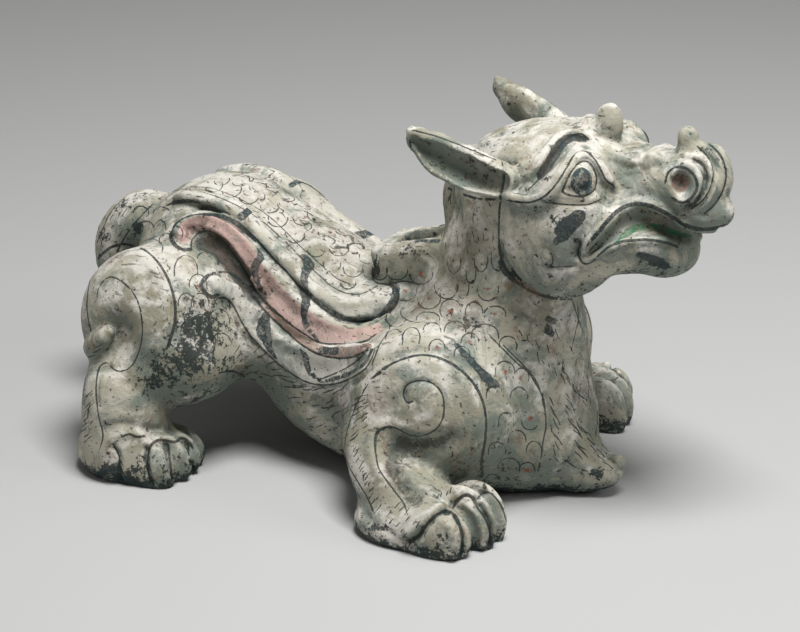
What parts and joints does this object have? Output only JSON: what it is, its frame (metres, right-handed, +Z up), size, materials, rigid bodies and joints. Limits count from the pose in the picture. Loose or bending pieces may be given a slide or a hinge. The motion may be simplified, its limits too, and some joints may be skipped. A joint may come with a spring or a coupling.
{
  "type": "tomb beast figure",
  "caption": "Crouching winged beast figure of painted earthenware, head raised, rump high, chest on the ground, with a square socket in its back.",
  "frame": {"origin": "centre of the bounding box on the ground under the figure", "axes": "+X towards the nose, +Y towards the beast's left side, +Z up"},
  "size_m": [0.4708, 0.2876, 0.2669],
  "materials": {
    "painted_clay": "matte worn slip and pigment"
  },
  "bodies": {
    "root": {"tomb_beast": "painted_clay"}
  },
  "joints": []
}
